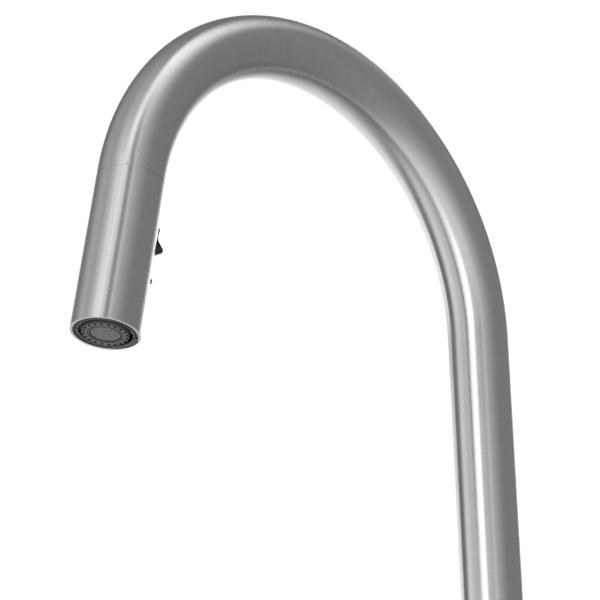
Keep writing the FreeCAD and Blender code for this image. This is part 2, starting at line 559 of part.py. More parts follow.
def make_core():
    """Moulded waterway that fills the shell and carries the valve, the buttons and the face."""
    core = cyl(CORE_R, INSERT_H, CORE_TOP)
    core = join(core, ring(FACE_R - FIT, MESH_R + 1.3, INSERT_H - 1.0, INSERT_H))
    core = core.cut(cyl(MESH_R + 0.6, 0, 13.0))
    core = core.cut(ring(NOZZLE_RING_R + 0.6, NOZZLE_RING_R - 0.9, 0, 9.0))
    core = core.cut(box(-SLOT_HALF, SLOT_HALF, POCKET_LOW_Y, 2 * CORE_R, INSERT_H + 3.0, POCKET_STEP_S))
    core = core.cut(box(-SLOT_HALF, SLOT_HALF, POCKET_HIGH_Y, 2 * CORE_R, POCKET_STEP_S - 1, SLOT_TOP))
    core = core.cut(box(-SLOT_HALF, SLOT_HALF, BEZEL_Y - FIT, 2 * CORE_R, 0, INSERT_H + 4.0))
    core = core.cut(cyl(SPOOL_R + RUN, 16.0, SPOOL_S1 + 1.0, y=SPOOL_Y))
    core = core.cut(box(-1.6, 1.6, SPOOL_Y, POCKET_HIGH_Y + 1, TOGGLE_S - 3.6, TOGGLE_S + 2.0))
    core = core.cut(cyl(2.0, 12.0, 17.0, y=SPOOL_Y))
    core = core.cut(cyl(1.1, 8.5, 24.0, y=-NOZZLE_RING_R + 0.2))
    core = core.cut(Part.makeCylinder(1.1, SPOOL_Y + NOZZLE_RING_R, V(0, -NOZZLE_RING_R + 0.2, 24.0), Y_AXIS))
    core = core.cut(cyl(2.6, SPOOL_S1, SEAT_S)).cut(cyl(INLET_R - 0.6, SEAT_S - 1.0, CORE_TOP + 1))
    core = core.cut(cyl(INLET_R + RUN, SEAT_S + 2.6, CORE_TOP + 1))
    node("head_core", on_head(core))

    insert = ring(CORE_R, INSERT_IN_R, 0.3, INSERT_H)
    node("face_ring", on_head(insert.cut(box(-SLOT_HALF, SLOT_HALF, 0, 2 * CORE_R, -1, INSERT_H + 1))))

    cap = ring(SHELL_BORE_R - RUN, 8.7, CORE_TOP, HEAD_LENGTH)
    cap = cap.cut(ring(MAGNET_OUT + FIT, MAGNET_IN - FIT, HEAD_LENGTH - 0.3 - MAGNET_T, HEAD_LENGTH + 1))
    node("head_top_cap", on_head(cap))
    node("head_magnet", on_head(ring(MAGNET_OUT, MAGNET_IN, HEAD_LENGTH - 0.25 - MAGNET_T, HEAD_LENGTH - 0.25)))


def make_hose_end():
    """Nipple and ferrule on the hose's upper end, and the nut that holds them in the head."""
    nipple = join(cyl(INLET_R - 0.67, SEAT_S - 0.9, SEAT_S + 2.4), cyl(NIPPLE_R, SEAT_S + 2.4, HOSE_END_S - 0.6),
                  cyl(HOSE_BORE_R - 0.2, HOSE_END_S - 0.6, FERRULE_S1 - 1))
    node("hose_nipple", on_head(nipple.cut(cyl(2.0, SEAT_S - 2, FERRULE_S1))))
    ferrule = join(ring(FERRULE_R, HOSE_R + FIT, HOSE_END_S - 0.5, FERRULE_S1),
                   ring(FERRULE_R, NIPPLE_R + RUN, FERRULE_S0, HOSE_END_S - 0.5))
    for k in range(3):
        s = HOSE_END_S + 1.5 + 3.4 * k
        ferrule = ferrule.cut(ring(FERRULE_R + 1, FERRULE_R - 0.45, s, s + 1.5))
    node("hose_outlet_ferrule", on_head(ferrule))
    nut = join(cyl(INLET_R, SEAT_S + 2.65, CORE_TOP + 0.2), hexagon(14.0, CORE_TOP + 0.2, CORE_TOP + 8.0))
    node("coupling_nut", on_head(nut.cut(cyl(NIPPLE_R + RUN, SEAT_S, FERRULE_S0))))


def make_face():
    """Spray face with its ring of nozzles, and the aerator in the middle."""
    top = INSERT_H - 1.0 - 1.1
    face = ring(FACE_R, MESH_R + 0.62, -FACE_PROUD, top)
    face = rounded(face, 0.3, circle_at(-FACE_PROUD, FACE_R))
    face = face.cut(ring(7.3, 6.85, -FACE_PROUD - 1, -FACE_PROUD + 0.5))
    skin = ring(FACE_R - 0.2, MESH_R + 1.3, top, top + 1.05)
    for k in range(NOZZLE_COUNT):
        a = math.radians(90 + 3 + 360 / NOZZLE_COUNT * k)
        x, y = NOZZLE_RING_R * math.cos(a), NOZZLE_RING_R * math.sin(a)
        face = face.cut(cyl(NOZZLE_R + 0.04, -FACE_PROUD - 1, top + 1, x=x, y=y))
        tip = cyl(NOZZLE_R, -FACE_PROUD - 0.1, top + 0.5, x=x, y=y)
        skin = skin.fuse(tip).cut(cyl(NOZZLE_R / 2, -FACE_PROUD - 1, top + 2, x=x, y=y))
    node("spray_face", on_head(face))
    node("nozzle_skin", on_head(skin.removeSplitter()))

    housing = ring(MESH_R + 0.55, MESH_R - 0.1, -FACE_PROUD + 0.15, 12.5)
    node("aerator_housing", on_head(housing.cut(cyl(MESH_R + 0.02, -1, 1.0))))
    pitch, bar, thick = 1.0, 0.34, 0.8
    grid = ring(MESH_R, MESH_R - 0.35, -FACE_PROUD + 0.3, -FACE_PROUD + 0.3 + thick)
    bars = []
    count = int((MESH_R - 0.3) / pitch)
    for k in range(-count, count + 1):
        half = math.sqrt((MESH_R - 0.1) ** 2 - (k * pitch) ** 2)
        z0 = -FACE_PROUD + 0.3
        bars.append(box(-half, half, k * pitch - bar / 2, k * pitch + bar / 2, z0, z0 + thick))
        bars.append(box(k * pitch - bar / 2, k * pitch + bar / 2, -half, half, z0, z0 + thick))
    grid = join(grid, *bars)
    grid.rotate(V(0, 0, 0), Z_AXIS, 8)
    node("aerator_mesh", on_head(grid))


def upright(points, half):
    """Plate in the YZ plane from (y, s) points, from -half to half across."""
    wire = Part.makePolygon([V(-half, y, s) for y, s in points + points[:1]])
    return Part.Face(wire).extrude(V(2 * half, 0, 0))


def make_buttons():
    """Rear plate with the spray toggle and the pause button."""
    s, y = TOGGLE_S, TOGGLE_Y
    window_low, window_high = s + TOGGLE_LOW - 0.6, s + TOGGLE_HIGH + 0.9
    bezel = cyl(BEZEL_R, 0.15, SLOT_TOP - FIT).common(slot_shape(SLOT_HALF - FIT, SLOT_TOP - FIT, BEZEL_Y, 0.15))
    bezel = bezel.cut(cyl(INSERT_IN_R, -1, INSERT_H + 0.1))
    bezel = bezel.cut(box(-WINDOW_HALF, WINDOW_HALF, 0, 2 * TUBE_R, window_low, window_high))
    low, high = BUTTON_S - BUTTON_HALF_S - 0.25, BUTTON_S + BUTTON_HALF_S + 0.25
    bezel = bezel.cut(box(-WINDOW_HALF, WINDOW_HALF, 0, 2 * TUBE_R, low, high))
    pin_hole = Part.makeCylinder(0.8, 4 * SLOT_HALF, V(-2 * SLOT_HALF, y, s), X_AXIS)
    node("button_bezel", on_head(bezel.cut(pin_hole)))
    node("toggle_pin", on_head(Part.makeCylinder(0.8 - RUN, 13.4, V(-6.7, y, s), X_AXIS)))

    toggle = upright([(10.6, s + TOGGLE_LOW), (13.6, s + TOGGLE_LOW), (14.2, s - 5.4), (18.0, s - 0.9),
                      (18.2, s + 0.2), (17.7, s + 0.9), (14.7, s + 3.0), (14.6, s + TOGGLE_HIGH - 0.6),
                      (14.0, s + TOGGLE_HIGH), (10.6, s + TOGGLE_HIGH)], TOGGLE_HALF)
    ridges = [Part.makeCylinder(0.9, 2 * TOGGLE_HALF, V(-TOGGLE_HALF, 14.7, s + up), X_AXIS) for up in (4.4, 7.9)]
    hub = Part.makeCylinder(2.2, 2 * TOGGLE_HALF, V(-TOGGLE_HALF, y, s), X_AXIS)
    finger = join(box(-1.2, 1.2, y - TOGGLE_ARM, y, s - 0.7, s + 0.7), sphere(1.05, V(0, y - TOGGLE_ARM, s)))
    toggle = join(toggle, *ridges, hub, finger)
    bore = Part.makeCylinder(0.8 + RUN, 4 * TOGGLE_HALF, V(-2 * TOGGLE_HALF, y, s), X_AXIS)
    node("spray_toggle", on_head(toggle.cut(bore)))

    b = BUTTON_S
    button = upright([(8.4, b - BUTTON_HALF_S), (14.1, b - BUTTON_HALF_S), (14.6, b - 3.6), (15.9, b - 1.2),
                      (15.9, b - 0.2), (14.7, b + 2.4), (14.5, b + BUTTON_HALF_S), (8.4, b + BUTTON_HALF_S)],
                     TOGGLE_HALF)
    flange = box(-6.7, 6.7, 8.3, 9.3, b - BUTTON_HALF_S - 1.0, b + BUTTON_HALF_S + 1.0)
    stem = Part.makeCylinder(1.4, 1.2, V(0, 7.5, b), Y_AXIS)
    node("pause_button", on_head(join(button, flange, stem)))
    spring = sprung(2.2, 0.3, 0, 1.9, 2.5)
    spring.Placement = FreeCAD.Placement(V(0, POCKET_LOW_Y + RUN, b), FreeCAD.Rotation(X_AXIS, -90))
    node("button_spring", on_head(spring))


def make_spool():
    """Diverter spool that the toggle's finger pushes down the head, with two seals."""
    groove = 1.05 + FIT
    spool = cyl(SPOOL_R - RUN, SPOOL_S0, SPOOL_S1, y=SPOOL_Y)
    spool = spool.cut(box(-SPOOL_R, SPOOL_R, SPOOL_Y - 0.6, SPOOL_Y + SPOOL_R, TOGGLE_S - groove, TOGGLE_S + groove))
    seals = []
    for s in (SPOOL_S0 + 3.0, SPOOL_S0 + 14.0):
        band = cyl(SPOOL_R + 1, s, s + 1.6, y=SPOOL_Y).cut(cyl(SPOOL_R - 0.9, s - 1, s + 3, y=SPOOL_Y))
        spool = spool.cut(band)
        seals.append(Part.makeTorus(SPOOL_R - 0.45, 0.4, V(0, SPOOL_Y, s + 0.8), Z_AXIS))
    node("diverter_spool", on_head(spool))
    node("spool_o_rings", on_head(Part.makeCompound(seals)))


# ---- build ----------------------------------------------------------------------------------
for make in (make_base, make_deck_hardware, make_body, make_manifold, make_swivel, make_spout, make_dock,
             make_hose, make_cartridge, make_mixer, make_lever, make_shell, make_core, make_hose_end,
             make_face, make_buttons, make_spool):
    make()

os.makedirs("parts", exist_ok=True)
for name, shape in NODES.items():
    solids = shape.Solids
    if not solids or not all(s.isValid() and s.Volume > 0 for s in solids):
        raise ValueError(f"{name} is not a valid closed solid")
    whole = solids[0] if len(solids) == 1 else Part.makeCompound(solids)
    whole.exportStep(f"parts/{name}.step")
    box_size = whole.BoundBox
    print(f"{name}: {len(solids)} solid(s), {whole.Volume:.1f} mm3, "
          f"z {box_size.ZMin:.1f} to {box_size.ZMax:.1f}")
print(len(NODES), "nodes")
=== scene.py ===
"""Pull-down kitchen faucet: the finished looks of the gooseneck, spray head, body and lever."""

import json
import math

import bmesh
import bpy
import numpy as np
from mathutils import Matrix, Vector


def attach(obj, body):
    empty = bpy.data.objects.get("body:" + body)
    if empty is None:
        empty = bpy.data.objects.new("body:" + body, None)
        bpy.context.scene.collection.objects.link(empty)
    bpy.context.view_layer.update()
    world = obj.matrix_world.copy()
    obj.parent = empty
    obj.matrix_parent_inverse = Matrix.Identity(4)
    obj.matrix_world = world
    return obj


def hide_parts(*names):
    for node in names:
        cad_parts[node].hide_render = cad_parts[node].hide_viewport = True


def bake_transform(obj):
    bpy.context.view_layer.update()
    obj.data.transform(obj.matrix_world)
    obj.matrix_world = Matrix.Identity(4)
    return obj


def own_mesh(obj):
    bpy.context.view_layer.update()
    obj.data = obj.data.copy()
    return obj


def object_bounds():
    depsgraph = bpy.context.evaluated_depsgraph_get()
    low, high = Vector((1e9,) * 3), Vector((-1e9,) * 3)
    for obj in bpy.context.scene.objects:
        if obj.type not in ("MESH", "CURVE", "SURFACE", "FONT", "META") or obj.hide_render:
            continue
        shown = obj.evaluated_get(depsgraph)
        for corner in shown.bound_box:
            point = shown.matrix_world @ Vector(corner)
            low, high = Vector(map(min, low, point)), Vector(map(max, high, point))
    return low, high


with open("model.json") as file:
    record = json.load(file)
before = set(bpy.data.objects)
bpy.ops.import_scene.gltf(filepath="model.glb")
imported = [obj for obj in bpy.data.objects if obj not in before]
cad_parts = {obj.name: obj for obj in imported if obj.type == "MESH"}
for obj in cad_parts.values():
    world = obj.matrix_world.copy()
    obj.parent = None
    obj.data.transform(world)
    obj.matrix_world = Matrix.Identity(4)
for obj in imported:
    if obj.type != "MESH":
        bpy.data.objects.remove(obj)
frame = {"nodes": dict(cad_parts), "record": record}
CAD_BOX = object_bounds()
NODES = frame["nodes"]

# ---- sizes, in metres, as the CAD model has them ------------------------------------------
TUBE_R, TUBE_WALL = 0.0143, 0.0012
ARC_R, ARC_Z = 0.110, 0.290
TILT = math.radians(11.0)
BEND = math.pi - TILT
TAIL = 0.0025
FOOT_Z = 0.09252
HEAD_LENGTH, SEAM = 0.0704, 0.0001
SLOT_HALF, SLOT_TOP, SLOT_CORNER = 0.00715, 0.0615, 0.003
SHELL_WALL = 0.0011
LIP = 0.00008             # rounding of the tube's and the sleeve's meeting edges
BUTTON_HEIGHT = 0.0290
NOZZLES, NOZZLE_RING = 20, 0.00888
HOSE_R, HOSE_FOOT, HOSE_END = 0.0044, -0.082, 0.078
HOSE_LIFT, HOSE_SWAY, HOSE_TURN = 0.0045, 0.300, 0.060
KEY_HALF, KEY_EDGE = 0.0056, 0.0004       # half width of both keys and the rounding of their ends
DOCK_HOSE = 0.150                         # length of the hose piece that follows the head
FOLLOW_LOW, FOLLOW_HIGH = 0.084, 0.094    # heights above the rim between which it parts from the spout
# each spring's coil radius, wire radius, height and turns, and the share of the height that stays
BUTTON_COIL, BUTTON_KEEP, BUTTON_COIL_BACK = (0.0022, 0.00015, 0.0019, 2.5), 0.5, 0.0073
VALVE_COIL, VALVE_KEEP, VALVE_COIL_Z = (0.0024, 0.00030, 0.01166, 5.5), 0.82, -0.10285
HEAD_UP = np.array([0.0, math.sin(TILT), math.cos(TILT)])
HEAD_BACK = np.array([0.0, math.cos(TILT), -math.sin(TILT)])
SIDE = np.array([1.0, 0.0, 0.0])
UP = np.array([0.0, 0.0, 1.0])
BEND_END = np.array([0.0, -ARC_R + ARC_R * math.cos(BEND), ARC_Z + ARC_R * math.sin(BEND)])
HEAD_DROP = TAIL + SEAM + HEAD_LENGTH
RIM = BEND_END - HEAD_UP * HEAD_DROP


# ---- surfaces ------------------------------------------------------------------------------
def quads(rows, columns, wrap_rows=False, wrap_columns=False):
    """Four-corner faces of a grid: face (i, j) joins (i, j), (i+1, j), (i+1, j+1), (i, j+1)."""
    i = np.arange(rows if wrap_rows else rows - 1)
    j = np.arange(columns if wrap_columns else columns - 1)
    i, j = np.meshgrid(i, j, indexing="ij")
    a, b = (i + 1) % rows, (j + 1) % columns
    return np.stack([i * columns + j, a * columns + j, a * columns + b, i * columns + b], -1).reshape(-1, 4)


def make_piece(name, points, faces, grain=None):
    """Mesh object from points (n, 3) and quads (m, 4); grain is (u, v) per face corner, (m, 4, 2)."""
    mesh = bpy.data.meshes.new(name)
    mesh.vertices.add(len(points))
    mesh.vertices.foreach_set("co", np.ascontiguousarray(points, dtype=np.float32).ravel())
    mesh.loops.add(faces.size)
    mesh.loops.foreach_set("vertex_index", np.ascontiguousarray(faces, dtype=np.int32).ravel())
    mesh.polygons.add(len(faces))
    mesh.polygons.foreach_set("loop_start", np.arange(0, faces.size, faces.shape[1], dtype=np.int32))
    mesh.polygons.foreach_set("use_smooth", np.ones(len(faces), dtype=bool))
    mesh.update(calc_edges=True)
    if grain is not None:
        layer = mesh.uv_layers.new(name="grain")
        layer.data.foreach_set("uv", np.ascontiguousarray(grain, dtype=np.float32).ravel())
    mesh.validate()
    piece = bpy.data.objects.new(name, mesh)
    bpy.context.scene.collection.objects.link(piece)
    return piece


def outward(points, faces):
    """Signed volume, the sum of (a x b) . c over the faces' triangles; a negative one means inside out."""
    a, b, c, d = (points[faces[:, k]] for k in range(4))
    volume = np.einsum("ij,ij->", np.cross(a, b), c) + np.einsum("ij,ij->", np.cross(a, c), d)
    return faces if volume > 0 else faces[:, ::-1]


def rounded_profile(corners, radii, steps=5):
    """Closed outline with each corner rounded: the arc's centre lies on the corner's bisector,
    radius / sin(half angle) from the corner, and the arc runs between the two tangent points."""
    corners = np.asarray(corners, float)
    out = []
    for k, corner in enumerate(corners):
        before = corners[k - 1] - corner
        after = corners[(k + 1) % len(corners)] - corner
        before, after = before / np.linalg.norm(before), after / np.linalg.norm(after)
        half = 0.5 * math.acos(np.clip(before @ after, -1, 1))
        r = radii[k]
        if r <= 0:
            out.append(corner[None])
            continue
        bisector = (before + after) / np.linalg.norm(before + after)
        centre = corner + bisector * r / math.sin(half)
        first, last = corner + before * r / math.tan(half), corner + after * r / math.tan(half)
        turn = np.linspace(0, 1, steps + 1)[:, None]
        chord = (first - centre) * (1 - turn) + (last - centre) * turn
        arc = centre + chord / np.linalg.norm(chord, axis=1, keepdims=True) * r
        lead = min(r, 0.00008)
        out.append(np.vstack([first + before * lead, arc, last + after * lead]))
    return np.vstack(out)


def gooseneck_line(d):
    """Centre and outward vectors of the spout at distance d from its foot: straight up, then round the
    bend's circle (y = -R + R cos t, z = z0 + R sin t), then straight along the spray head's axis."""
    rise = ARC_Z - FOOT_Z
    turn = np.clip((d - rise) / ARC_R, 0, BEND)
    centre = np.stack([np.zeros_like(d), -ARC_R + ARC_R * np.cos(turn),
                       np.minimum(d, rise) + FOOT_Z + ARC_R * np.sin(turn)], -1)
    centre = centre - np.maximum(d - rise - ARC_R * BEND, 0)[:, None] * HEAD_UP
    outer = np.stack([np.zeros_like(d), np.cos(turn), np.sin(turn)], -1)
    return centre, outer


def make_spout():
    """Gooseneck tube: the wall's closed profile (distance along the centre line, radius) carried round
    the tube. Each point is centre(d) + radius * (cos v * outward + sin v * side)."""
    rise, bend = ARC_Z - FOOT_Z, ARC_R * BEND
    total = rise + bend + TAIL
    mouth = LIP * (1 - np.cos(np.linspace(0, np.pi / 2, 5)))
    lip = LIP * (1 - np.sin(np.linspace(0, np.pi / 2, 5)))
    stations = np.concatenate([[0, 0.0002], np.linspace(0.02, rise - 0.004, 12),
                               np.linspace(rise, rise + bend, 150), [total - 0.0008, total - 0.0005]])
    outside = np.stack([stations, np.full(len(stations), TUBE_R)], -1)
    round_out = np.stack([total - lip, TUBE_R - mouth], -1)
    round_in = np.stack([total - lip[::-1], TUBE_R - TUBE_WALL + mouth[::-1]], -1)
    inner_stations = np.concatenate([[total - 0.001], np.linspace(rise + bend, rise, 60),
                                     [rise - 0.004, 0]])
    inside = np.stack([inner_stations, np.full(len(inner_stations), TUBE_R - TUBE_WALL)], -1)
    profile = np.vstack([outside, round_out, round_in, inside])
    centre, outer = gooseneck_line(profile[:, 0])
    around = 128
    angle = np.linspace(0, 2 * np.pi, around, endpoint=False)
    spoke = np.cos(angle)[None, :, None] * outer[:, None] + np.sin(angle)[None, :, None] * SIDE
    points = (centre[:, None] + profile[:, 1, None, None] * spoke).reshape(-1, 3)
    faces = quads(len(profile), around, True, True)
    i, j = np.divmod(np.arange(len(faces)), around)
    d = np.append(profile[:, 0], profile[0, 0])
    u = np.stack([d[i], d[i + 1], d[i + 1], d[i]], -1)
    v = np.stack([j, j, j + 1, j + 1], -1) / around
    grain = np.stack([u, v], -1)
    turned = outward(points, faces)
    if turned is not faces:
        grain = grain[:, ::-1]
    piece = make_piece("gooseneck", points, turned, grain)
    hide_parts("spout_tube")
    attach(piece, "spout")
    return piece


def make_head_shell():
    """Spray head's sleeve: a cylinder grid (height, angle) with the faces of the rear slot left out.
    Above the slot the lowest row follows its rounded end, which is
    top - corner + sqrt(corner^2 - (|arc| - half + corner)^2)."""
    half = math.asin(SLOT_HALF / TUBE_R)
    corner = SLOT_CORNER / TUBE_R
    edge = half - corner + corner * np.sin(np.linspace(0, np.pi / 2, 9))
    flat = np.linspace(-half + corner, half - corner, 7)[1:-1]
    slot_angles = np.concatenate([-edge[::-1], flat, edge])
    wall_angles = np.linspace(half, 2 * np.pi - half, 131)[1:-1]
    angle = np.concatenate([slot_angles, wall_angles])
    low = SLOT_TOP - SLOT_CORNER
    heights = np.concatenate([[0, 0.0006, 0.0012], np.linspace(0.004, low - 0.0006, 24), [low],
                              [low + 0.0042, HEAD_LENGTH - 0.0012, HEAD_LENGTH - 0.0006, HEAD_LENGTH]])
    slot_row = 27
    a, h = np.meshgrid(angle, heights)
    in_slot = np.arange(len(angle)) < len(slot_angles)
    across = np.clip((np.abs(slot_angles) - half + corner) / corner, 0, 1)
    h[slot_row, in_slot] = low + SLOT_CORNER * np.sqrt(1 - across ** 2)
    spoke = np.cos(a)[..., None] * HEAD_BACK + np.sin(a)[..., None] * SIDE
    points = (RIM + h[..., None] * HEAD_UP + TUBE_R * spoke).reshape(-1, 3)
    faces = quads(len(heights), len(angle), False, True)
    i, j = np.divmod(np.arange(len(faces)), len(angle))
    keep = ~((i < slot_row) & (j < len(slot_angles) - 1))
    faces, i, j = faces[keep], i[keep], j[keep]
    hu = np.append(heights, heights[-1])
    turn = np.append(angle, angle[0] + 2 * np.pi) / (2 * np.pi)
    grain = np.stack([np.stack([hu[i], hu[i + 1], hu[i + 1], hu[i]], -1),
                      np.stack([turn[j], turn[j], turn[j + 1], turn[j + 1]], -1)], -1)
    middle = points[faces].mean(1)
    first = points[faces]
    normal = np.cross(first[:, 1] - first[:, 0], first[:, 3] - first[:, 0])
    away = middle - RIM - ((middle - RIM) @ HEAD_UP)[:, None] * HEAD_UP
    if np.einsum("ij,ij->", normal, away) < 0:
        faces, grain = faces[:, ::-1], grain[:, ::-1]
    used, faces = np.unique(faces, return_inverse=True)
    piece = make_piece("head_sleeve", points[used], faces.reshape(-1, 4), grain)
    wall = piece.modifiers.new("wall", "SOLIDIFY")
    wall.thickness, wall.offset, wall.use_even_offset = SHELL_WALL, -1, True
    soften = piece.modifiers.new("edges", "BEVEL")
    soften.width, soften.segments = 0.0001, 3
    soften.limit_method, soften.angle_limit = "ANGLE", math.radians(40)
    soften.harden_normals = True
    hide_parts("head_shell")
    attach(piece, "spray_head")
    return piece


def rounded_bar(name, outline, half, edge, steps=6):
    """Bar across the head from an outline of (back, height) points. Near each end the outline shrinks
    inwards by edge * (1 - cos q) while the end advances by edge * sin q, which rounds the end's rim."""
    outline = np.asarray(outline, float)
    ahead = np.roll(outline, -1, 0) - np.roll(outline, 1, 0)
    inward = np.stack([-ahead[:, 1], ahead[:, 0]], -1)
    inward = inward / np.linalg.norm(inward, axis=1, keepdims=True)
    x, y = outline[:, 0], outline[:, 1]
    if np.sum(x * np.roll(y, -1) - np.roll(x, -1) * y) < 0:
        inward = -inward
    q = np.linspace(0, np.pi / 2, steps)
    shrink = np.concatenate([edge * (1 - np.cos(q[::-1])), edge * (1 - np.cos(q))])
    across = np.concatenate([-(half - edge + edge * np.sin(q[::-1])), half - edge + edge * np.sin(q)])
    rings = outline[None] + shrink[:, None, None] * inward[None]
    centre = outline.mean(0)
    cap = np.array([0.55, 0.0])
    rings = np.concatenate([centre + (rings[:1] - centre) * c for c in cap[::-1]] + [rings] +
                           [centre + (rings[-1:] - centre) * c for c in cap])
    across = np.concatenate([[across[0]] * 2, across, [across[-1]] * 2])
    points = (RIM + across[:, None, None] * SIDE + rings[..., 0, None] * HEAD_BACK
              + rings[..., 1, None] * HEAD_UP)
    points = points.reshape(-1, 3)
    faces = outward(points, quads(len(across), len(outline), False, True))
    piece = make_piece(name, points, faces)
    weld(piece)
    return piece


def weld(piece):
    """Merges the coincident points of a pole and drops the faces that vanish there."""
    work = bmesh.new()
    work.from_mesh(piece.data)
    bmesh.ops.remove_doubles(work, verts=work.verts, dist=1e-6)
    bmesh.ops.recalc_face_normals(work, faces=work.faces)
    work.to_mesh(piece.data)
    work.free()


def along(values):
    """Head coordinates in millimetres as metres."""
    return np.asarray(values, float) / 1000


def make_buttons():
    """The rocking toggle, with two finger ridges above a wedge, and the pause key with its single
    ridge. Both outlines are (distance behind the head's axis, height above its rim) in millimetres,
    with every corner rounded."""
    toggle = [(10.6, 40.4), (12.5, 40.4), (13.6, 40.8), (17.6, 43.4), (18.2, 44.4), (17.9, 45.8),
              (14.1, 46.7), (13.8, 47.1), (14.9, 47.5), (15.0, 48.7), (13.7, 49.3), (13.6, 50.8),
              (14.8, 51.8), (14.9, 53.5), (13.3, 54.1), (12.5, 57.3), (10.6, 57.3)]
    turns = [0.3, 0.4, 0.5, 0.4, 0.45, 0.35, 0.3, 0.3, 0.45, 0.45, 0.3, 0.3, 0.5, 0.5, 0.3, 0.4, 0.3]
    outline = rounded_profile(along(toggle), along(turns) * 0.9, 4)
    rocker = rounded_bar("spray_rocker", outline, KEY_HALF, KEY_EDGE)
    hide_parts("spray_toggle")
    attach(rocker, "toggle")
    key = [(8.6, 24.0), (12.6, 24.0), (13.4, 26.6), (14.9, 28.1), (15.1, 29.4), (13.5, 30.9),
           (12.6, 34.0), (8.6, 34.0)]
    turns = [0.3, 0.4, 0.5, 0.5, 0.5, 0.5, 0.4, 0.3]
    outline = rounded_profile(along(key), along(turns), 4)
    pause = rounded_bar("pause_key", outline, KEY_HALF, KEY_EDGE)
    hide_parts("pause_button")
    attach(pause, "button")
    return rocker, pause


def close_ends(piece):
    """Fills every open loop of edges with one face and turns all faces outwards."""
    work = bmesh.new()
    work.from_mesh(piece.data)
    bmesh.ops.holes_fill(work, edges=[e for e in work.edges if e.is_boundary], sides=0)
    bmesh.ops.triangulate(work, faces=[f for f in work.faces if len(f.verts) > 4])
    bmesh.ops.recalc_face_normals(work, faces=work.faces)
    work.to_mesh(piece.data)
    work.free()


def make_face_insert():
    """Insert around the spray face: a stepped profile (radius, height) turned about the head's axis,
    from one side of the rear slot to the other: origin + h * axis + r * (cos v * back + sin v * side)."""
    steps = [(13.02, 3.4), (13.02, 0.5), (12.34, 0.5), (12.28, 1.3), (12.14, 1.3), (12.08, 0.3),
             (11.12, 0.3), (10.98, 1.9), (9.85, 1.9), (9.85, 3.4)]
    turns = [0, 0.16, 0.14, 0, 0, 0.22, 0.22, 0.1, 0.1, 0]
    profile = rounded_profile(along(steps), along(turns), 4)
    gap = math.asin(1.02 * SLOT_HALF / profile[:, 0].max())
    angle = np.linspace(gap, 2 * np.pi - gap, 121)
    spoke = np.cos(angle)[:, None] * HEAD_BACK + np.sin(angle)[:, None] * SIDE
    points = RIM + profile[:, 1, None, None] * HEAD_UP + profile[:, 0, None, None] * spoke[None]
    faces = quads(len(profile), len(angle), True, False)
    piece = make_piece("face_insert", points.reshape(-1, 3), faces)
    close_ends(piece)
    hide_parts("face_ring")
    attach(piece, "spray_head")
    return piece


def make_nozzle_tips():
    """Twenty rubber tips round the spray face. Each is a small profile (radius, height) turned about
    its own axis; tip k stands at angle v0 + 2 pi k / count on the ring, and all of them are one mesh."""
    profile = along([(0.60, 0.4), (0.60, -0.56), (0.54, -0.66), (0.36, -0.68), (0.27, -0.62),
                     (0.25, 0.2), (0.0, 0.2)])
    around = 16
    v = np.linspace(0, 2 * np.pi, around, endpoint=False)
    place = math.radians(93) + 2 * np.pi * np.arange(NOZZLES) / NOZZLES
    spot = NOZZLE_RING * (np.cos(place)[:, None] * SIDE + np.sin(place)[:, None] * HEAD_BACK)
    spoke = np.cos(v)[:, None] * SIDE + np.sin(v)[:, None] * HEAD_BACK
    one = profile[:, 1, None, None] * HEAD_UP + profile[:, 0, None, None] * spoke[None]
    points = RIM + spot[:, None, None] + one[None]
    faces = quads(len(profile), around, False, True)
    count = len(profile) * around
    faces = (faces[None] + count * np.arange(NOZZLES)[:, None, None]).reshape(-1, 4)
    piece = make_piece("nozzle_tips", points.reshape(-1, 3), faces)
    weld(piece)
    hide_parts("nozzle_skin")
    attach(piece, "spray_head")
    return piece


def hose_line(d):
    """Centre and outer vectors of the spray hose at distance d from its lower end, and its length. The
    line is made of straight runs and arcs: along a run the centre moves by the heading, and on an arc of
    radius r the heading turns by a = d / r while the centre moves by r sin a along the old heading and
    r (1 - cos a) across it."""
    lean = math.acos(1 - HOSE_LIFT / (2 * HOSE_SWAY))
    last = math.acos((ARC_R - HOSE_TURN) / (ARC_R + HOSE_LIFT - HOSE_TURN))
    straight = HEAD_DROP + (ARC_R + HOSE_LIFT - HOSE_TURN) * math.sin(last)
    rise = ARC_Z - 2 * HOSE_SWAY * math.sin(lean) - HOSE_FOOT
    steps = [(rise, 0), (HOSE_SWAY, -lean), (HOSE_SWAY, lean), (ARC_R + HOSE_LIFT, BEND - last),
             (HOSE_TURN, last), (straight - HOSE_END, 0)]
    y, z, heading, start = 0.0, HOSE_FOOT, 0.0, 0.0
    centre, outer = np.zeros((len(d), 3)), np.zeros((len(d), 3))
    for size, turn in steps:
        length = size * abs(turn) if turn else size
        here = np.clip(d - start, 0, length)
        bend = here / size * np.sign(turn)
        ahead = size * np.abs(np.sin(bend)) if turn else here
        across = size * (1 - np.cos(bend)) * np.sign(turn)
        sine, cosine = math.sin(heading), math.cos(heading)
        line_y = y - ahead * sine - across * cosine
        line_z = z + ahead * cosine - across * sine
        inside = (d >= start) if (size, turn) != steps[0] else np.ones(len(d), bool)
        angle = heading + bend
        centre[inside] = np.stack([0 * d, line_y, line_z], -1)[inside]
        outer[inside] = np.stack([0 * d, np.cos(angle), np.sin(angle)], -1)[inside]
        end_turn = abs(turn)
        ahead_all = size * math.sin(end_turn) if turn else size
        across_all = size * (1 - math.cos(end_turn)) * (1 if turn > 0 else -1) if turn else 0.0
        y, z = y - ahead_all * sine - across_all * cosine, z + ahead_all * cosine - across_all * sine
        heading, start = heading + turn, start + length
    return centre, outer, start


